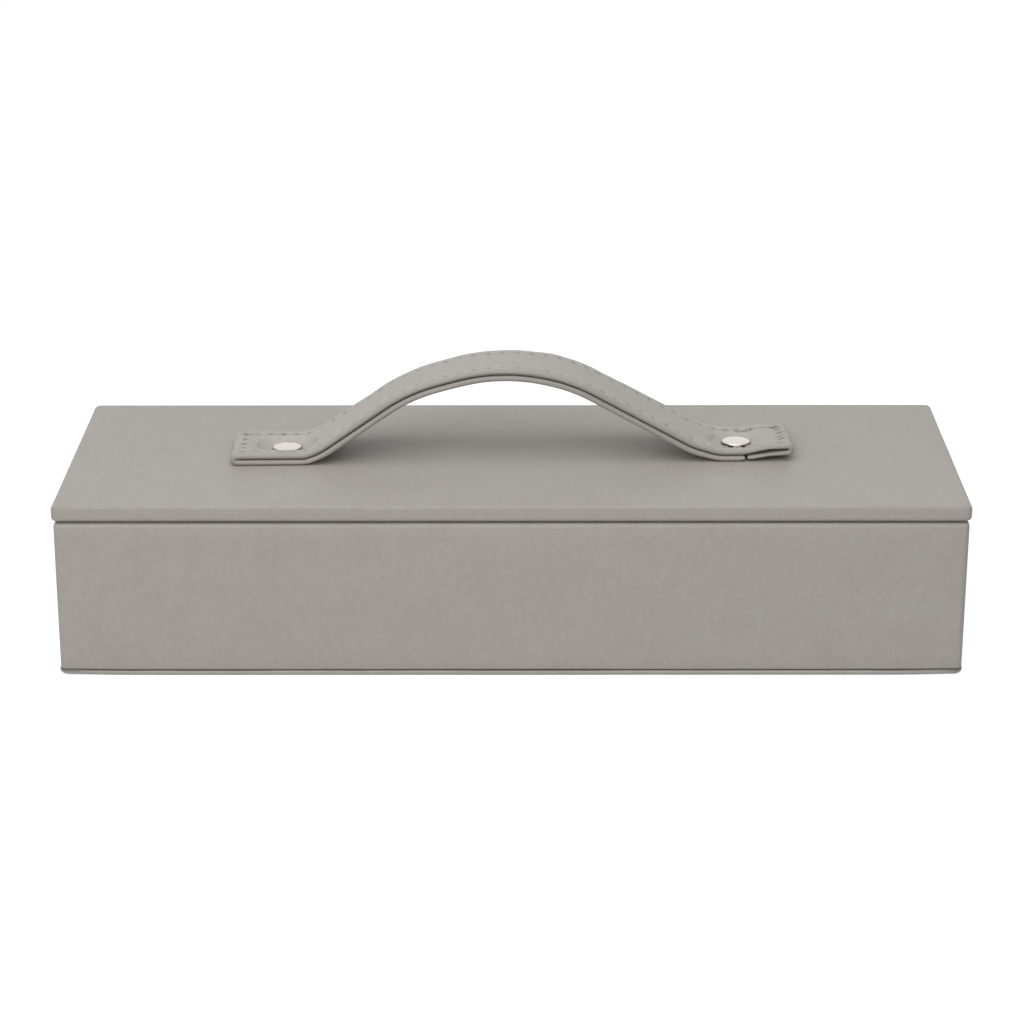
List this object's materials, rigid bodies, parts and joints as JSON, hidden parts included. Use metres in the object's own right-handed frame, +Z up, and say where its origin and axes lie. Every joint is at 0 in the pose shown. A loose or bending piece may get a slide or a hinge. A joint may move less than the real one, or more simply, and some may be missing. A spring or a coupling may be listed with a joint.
{
  "type": "box",
  "caption": "long low rectangular box wrapped in grey leatherette, with a flat lift-off lid, an arched strap handle riveted at both ends and a cloth-lined compartment",
  "frame": {"origin": "middle of the underside of the base panel, on which the box stands", "axes": "+X along the length of the box to the right, -Y towards the pictured front, +Z up, the way the lid lifts"},
  "size_m": [0.3, 0.11, 0.093],
  "materials": {
    "leatherette": "fine pebble grain, satin",
    "board": "raw fibreboard",
    "card": "grey pasteboard",
    "lining_cloth": "short brushed pile",
    "padding": "dense felted padding",
    "rivet_metal": "nickel plated, polished"
  },
  "bodies": {
    "box": {"base_board": "board", "base_cover": "leatherette", "floor_board": "board", "box_cover": "leatherette", "front_wall": "board", "back_wall": "board", "left_wall": "board", "right_wall": "board", "lining_card_front": "card", "lining_cloth_front": "lining_cloth", "lining_card_back": "card", "lining_cloth_back": "lining_cloth", "lining_card_left": "card", "lining_cloth_left": "lining_cloth", "lining_card_right": "card", "lining_cloth_right": "lining_cloth", "lining_card_floor": "card", "lining_cloth_floor": "lining_cloth"},
    "lid": {"lid_board": "board", "lid_cover": "leatherette", "locating_board": "board", "locating_cloth": "lining_cloth", "handle_strap": "leatherette", "handle_padding": "padding", "rivet_cap_left": "rivet_metal", "rivet_cap_right": "rivet_metal", "rivet_post_left": "rivet_metal", "rivet_post_right": "rivet_metal"}
  },
  "joints": [
    {"name": "lid_lift", "type": "slide", "parent": "box", "child": "lid", "axis": [0, 0, 1], "range_m": [0, 0.1]}
  ]
}
